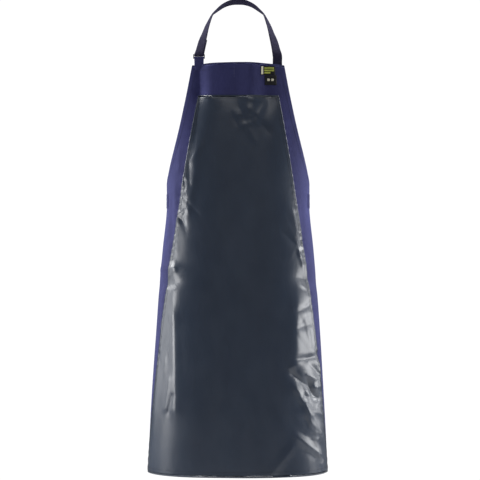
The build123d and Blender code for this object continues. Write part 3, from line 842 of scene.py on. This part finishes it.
def neck_webbing():
    """The strap's tail, its fold round the upper bar, the loop round the neck and the sewn end."""
    mirror = np.array([-1, 1, 1])
    rise = [(np.array(p), np.array(o) / np.linalg.norm(o)) for p, o in NECK_RISE]
    left = [(p * mirror, o * mirror) for p, o in rise]
    fold, fold_outs = turn(BAR_Z, BAR_OFFSET, -180, 0, 13, LOOP_TAB_X)
    tail = [(p - o * TAIL_DROP, -o) for p, o in left[1::-1]] + [(fold[0], fold_outs[0])]
    loop = [(fold[-1], fold_outs[-1])] + left + [(NAPE_OUT * STRAP_T / 2, NAPE_OUT)] + rise[::-1]
    sewn = (HINGE.z + SEWN_ABOVE_HINGE, HINGE.z - SEWN_BELOW_HINGE)
    for z in (*sewn, BIB_TOP_Z - SEWN_BELOW_BIB, BIB_TOP_Z - TAB_FOOT):
        loop.append((np.array([SEWN_TAB_X, HINGE.y, z]), FRONT_WAY))
    path, outs = [], []
    for run in (tail, loop):
        path.append(spline([p for p, _ in run], 8))
        outs.append(spline([o for _, o in run], 8))
    path = np.concatenate([path[0][:-1], fold[:-1], path[1]])
    return path, np.concatenate([outs[0][:-1], fold_outs[:-1], outs[1]])


neck_path, neck_outs = neck_webbing()
curl = CURL * np.exp(-(((neck_path[:, 2] - CURL_Z) / CURL_REACH) ** 2))
neck = ribbon("neck_webbing", neck_path, neck_outs, WEB, curl=curl)
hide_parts("neck_strap", "neck_tab_right")
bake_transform(neck)


def tab_loop():
    """The left tab: a cloth band round the buckle's lower bar, both ends sewn behind the bib."""
    radius = BAR_CLEAR + TAB_T / 2 + TAB_FULLNESS
    foot = BIB_TOP_Z - TAB_FOOT
    share = np.linspace(0, 1, 12)
    over, over_outs = turn(HINGE.z, radius, 0, 180, 15, LOOP_TAB_X)
    bulge = TAB_BULGE * np.sin(math.pi * share) ** 1.5
    rise = foot + (HINGE.z - foot) * share
    front = [(LOOP_TAB_X, HINGE.y - radius - b, z) for z, b in zip(rise, bulge)]
    back = [(LOOP_TAB_X, HINGE.y + radius, z) for z in rise[::-1]]
    path = np.array(front[:-1] + [tuple(p) for p in over] + back[1:])
    outs = np.array([FRONT_WAY] * (len(share) - 1) + over_outs + [-FRONT_WAY] * (len(share) - 1))
    height = np.clip((path[:, 2] - foot) / (HINGE.z - foot), 0, 1)
    width = TAB_FOOT_W + TAB_WIDENING * height**0.7
    return ribbon("neck_tab_loop", path, outs, NAVY, width, TAB_T, crown=0.05)


tab = tab_loop()
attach(tab, "apron")
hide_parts("neck_tab_left")

# ---------------------------------------------------------------- waist strap and its buckle
# The sewn end's places round the body, then the free strap's (x, y) points on the +X side
SEWN_AROUND = (0.216, 0.232, 0.248, 0.262)
SEWN_INSET = 0.0029
FREE_POINTS = (
    (0.185, -0.006),
    (0.170, 0.030),
    (0.142, 0.057),
    (0.104, 0.073),
    (0.066, 0.0785),
    (0.044, 0.0785),
)
WAIST_TAIL = 0.040
BAR_X = {-1: -0.028, 1: 0.024}
for side, word in SIDES:
    sewn, _ = draped(np.array(SEWN_AROUND) * side, WAIST_STRAP_DEPTH, -SEWN_INSET)
    points = list(sewn)
    points += [np.array([side * x, y, WAIST_Z]) for x, y in FREE_POINTS]
    bar_x = BAR_X[side]
    points.append(np.array([bar_x, WAIST_BACK_Y + BAR_OFFSET, WAIST_Z]))
    run = spline(points, 6)
    heading = np.gradient(run, axis=0)
    run_outs = np.stack([heading[:, 1], -heading[:, 0], 0 * heading[:, 0]], axis=1) * side
    fold, fold_outs = [], []
    for angle in np.radians(np.linspace(90, 270, 11))[1:]:
        way = np.array([math.cos(angle) * side, math.sin(angle), 0])
        fold.append(np.array([bar_x, WAIST_BACK_Y, WAIST_Z]) + way * BAR_OFFSET)
        fold_outs.append(way)
    tail_x = np.linspace(0, WAIST_TAIL, 9)[1:]
    tail = [np.array([bar_x + side * x, WAIST_BACK_Y - BAR_OFFSET, WAIST_Z]) for x in tail_x]
    path = np.concatenate([run, fold, tail])
    outs = np.concatenate([run_outs, fold_outs, [[0, -1.0, 0]] * len(tail)])
    strap = ribbon("waist_webbing_" + word, path, outs, WEB)
    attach(strap, "apron")
    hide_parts("waist_strap_" + word)

# ---------------------------------------------------------------- labels and bartacks
LABEL_T = 0.0006
LABEL_LIFT = BODY_T + 0.0004
MARK_T = 0.0002
# Places on the cloth: left side, top, width and height
UPPER_LABEL = (0.0595, 0.0104, 0.039, 0.024)
LOWER_LABEL = (0.07025, 0.0352, 0.0315, 0.026)
# The same for the marks, from their label's own corner
STRIPE = (0.0008, 0.0015, 0.0055, 0.021)
LINE_CORNER = (0.0092, 0.0036)
LINE_HEIGHT = 0.0042
LINE_WIDTHS = (0.026, 0.026, 0.017)
LINE_PITCH = 0.0062
SPOT = (0.0072, 0.009, 0.0065, 0.0065)
SPOT_PITCH = 0.0105


def plate(name, body, node, place, lift, thickness, finish, slot):
    """A small woven piece at a place on the cloth: its left side, top, width and height."""
    left, top, width, height = place
    columns, rows = left + width * np.linspace(0, 1, 13), top + height * np.linspace(0, 1, 11)
    around, depth = np.meshgrid(columns, rows)
    piece = sheet_piece(name, around, depth, lift, thickness, finish)
    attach(piece, body)
    if node:
        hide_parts(node)
    return piece


for name, body, node, place, held in (
    ("bib_label_cloth", "apron", "bib_label", UPPER_LABEL, "laid"),
    ("hanging_label_cloth", "label_flap", "hanging_label", LOWER_LABEL, "hung"),
):
    label = plate(name, body, node, place, LABEL_LIFT, LABEL_T, LABEL_BLACK, "label_cloth")
mark_lift = LABEL_LIFT + LABEL_T
left, top = UPPER_LABEL[:2]
place = (left + STRIPE[0], top + STRIPE[1], *STRIPE[2:])
finish = (MARK_T, LABEL_CREAM, "label_bar")
plate("bib_label_stripe", "apron", "bib_label_bar", place, mark_lift, *finish)
for i, width in enumerate(LINE_WIDTHS):
    line_top = top + LINE_CORNER[1] + LINE_PITCH * i
    place = (left + LINE_CORNER[0], line_top, width, LINE_HEIGHT)
    name = "bib_label_line_" + str(i + 1)
    plate(name, "apron", None, place, mark_lift, MARK_T, LABEL_LIME, "label_bar")
left, top = LOWER_LABEL[:2]
for i in range(2):
    place = (left + SPOT[0] + SPOT_PITCH * i, top + SPOT[1], *SPOT[2:])
    name = "hanging_label_spot_" + str(i + 1)
    plate(name, "label_flap", None, place, mark_lift, *finish)

# Length of one zig, and how far it stands to each side
TACK_PITCH = 0.0009
TACK_REACH = 0.0009
# Bartack lengths and places: on the tabs below the bib's top line, on the strap's sewn end just
# below the hinge, and on the waist strap's ends round the body
TAB_TACK = 0.018
TAB_TACK_DEPTHS = (0.009, 0.018)
STRAP_TACK = 0.022
STRAP_TACK_DROP = 0.004
WAIST_TACK = 0.021
WAIST_TACKS_AROUND = (0.224, 0.244)
# The seam in the middle of the bib
SEAM_AROUND = -0.0105
SEAM_DEPTHS = (0.010, 0.040)


def bartack(middle, along, up, length):
    """A close zigzag of thread, as lines of (points, ups)."""
    middle, along, up = np.array(middle), np.array(along), np.array(up)
    side = np.cross(along, up)
    count = int(length / TACK_PITCH)
    steps = np.arange(count + 1)
    wander = np.where(steps % 2, TACK_REACH, -TACK_REACH)[:, None]
    points = middle + along * ((steps / count - 0.5) * length)[:, None] + side * wander
    return points, np.tile(up, (count + 1, 1))


seam_depth = np.linspace(*SEAM_DEPTHS, 12)
seam_line = draped(SEAM_AROUND + 0 * seam_depth, seam_depth, FRONT)
seam = stitches("bib_seam", [seam_line], THREAD_LIGHT)
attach(seam, "apron")
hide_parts("bib_bartack")

tacks = []
back_left = HINGE.y + BAR_CLEAR + BODY_T + THREAD / 2
back_right = HINGE.y + STRAP_T / 2 + THREAD / 2
for x, y in ((LOOP_TAB_X, back_left), (SEWN_TAB_X, back_right)):
    for depth in TAB_TACK_DEPTHS:
        tacks.append(bartack((x, y, BIB_TOP_Z - depth), (1, 0, 0), (0, 1, 0), TAB_TACK))
middle = (SEWN_TAB_X, HINGE.y - STRAP_T / 2 - THREAD / 2, HINGE.z - STRAP_TACK_DROP)
tacks.append(bartack(middle, (1, 0, 0), (0, -1, 0), STRAP_TACK))
tab_tacks = stitches("tab_zigzags", tacks, THREAD_NAVY)
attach(tab_tacks, "apron")
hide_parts("tab_bartacks")

tacks = []
for side in (-1, 1):
    for around in WAIST_TACKS_AROUND:
        inset = SEWN_INSET + STRAP_T / 2 + THREAD / 2
        point, out = draped(side * around, WAIST_STRAP_DEPTH, -inset)
        tacks.append(bartack(point, (0, 0, 1), -out, WAIST_TACK))
waist_tacks = stitches("waist_zigzags", tacks, THREAD_NAVY)
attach(waist_tacks, "apron")
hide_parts("waist_bartacks")

# ---------------------------------------------------------------- studio, lights and camera
CAMERA_DISTANCE = 4.5
CAMERA_Z = -0.649
CAMERA_X = 0.005
VIEW_SIDE = 1.2672
SENSOR = 36.0
FLOOR_BELOW = 0.34
FLOOR_RADIUS = 2.1
SURROUND_LIGHT = 0.17
SURROUND_SEEN = 1.05
# Each light: name, place, the point that it faces, width, height and radiance
SOFTBOXES = (
    ("left_box", (-1.92, -0.56, -0.87), (-0.17, -0.12, -0.87), 0.88, 0.65, 6.3),
    ("right_box", (2.0, -0.09, -0.98), (0.17, -0.12, -0.98), 1.05, 0.50, 6),
    ("left_high_box", (-2.20, 0.20, 0.85), (-0.17, -0.12, -0.4), 1.8, 2.2, 7.6),
    ("right_high_box", (2.20, 0.20, 0.85), (0.17, -0.12, -0.4), 1.8, 2.2, 7.6),
    ("left_far_box", (-1.88, 0.46, -0.75), (-0.17, -0.12, -0.75), 0.9, 0.9, 1.8),
    ("right_far_box", (1.76, 0.86, -0.75), (0.17, -0.12, -0.75), 0.7, 0.9, 1.8),
    ("front_box", (0.55, -4.3, 1.5), (0, -0.1, -0.6), 2.4, 1.6, 1.3),
)


def studio_floor():
    """A pale floor under the apron."""
    mat, nodes, links, shader = material("floor_pale")
    shader.inputs["Base Color"].default_value = (0.62, 0.62, 0.62, 1)
    shader.inputs["Roughness"].default_value = 0.9
    floor_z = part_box("apron_body")[0].z - FLOOR_BELOW
    rim = np.radians(np.arange(0, 360, 3))
    verts = [(FLOOR_RADIUS * math.cos(a), FLOOR_RADIUS * math.sin(a), floor_z) for a in rim]
    new_mesh("studio_floor", verts, [tuple(range(len(verts)))], None, mat)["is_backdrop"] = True


studio_floor()


def softbox(name, place, target, width, height, radiance):
    """A rectangular light that faces target."""
    light = bpy.data.lights.new(name, "AREA")
    light.shape = "RECTANGLE"
    light.size, light.size_y = width, height
    light.energy = radiance * math.pi * width * height
    obj = bpy.data.objects.new(name, light)
    bpy.context.scene.collection.objects.link(obj)
    obj.location = place
    way = Vector(target) - Vector(place)
    obj.rotation_euler = way.to_track_quat("-Z", "Y").to_euler()


for box in SOFTBOXES:
    softbox(*box)

# The camera sees a white surround; the light that it gives is dimmer.
world = bpy.data.worlds.new("studio")
bpy.context.scene.world = world
world.use_nodes = True
nodes, links = world.node_tree.nodes, world.node_tree.links
surround = nodes["Background"]
surround.inputs["Color"].default_value = (0.96, 0.99, 1.06, 1)
surround.inputs["Strength"].default_value = SURROUND_LIGHT
white = add(nodes, "ShaderNodeBackground", Color=(1, 1, 1, 1), Strength=SURROUND_SEEN)
sight, choice = nodes.new("ShaderNodeLightPath"), nodes.new("ShaderNodeMixShader")
links.new(sight.outputs["Is Camera Ray"], choice.inputs["Fac"])
links.new(surround.outputs["Background"], choice.inputs[1])
links.new(white.outputs["Background"], choice.inputs[2])
links.new(choice.outputs["Shader"], nodes["World Output"].inputs["Surface"])

camera = bpy.data.cameras.new("camera")
camera.sensor_width = SENSOR
camera.lens = SENSOR * CAMERA_DISTANCE / VIEW_SIDE
camera_obj = bpy.data.objects.new("camera", camera)
bpy.context.scene.collection.objects.link(camera_obj)
camera_obj.location = (CAMERA_X, FRONT_LINE[0][1] - CAMERA_DISTANCE, CAMERA_Z)
camera_obj.rotation_euler = (math.radians(90), 0, 0)
bpy.context.scene.camera = camera_obj
bpy.context.scene.view_settings.view_transform = "Standard"

low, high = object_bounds()
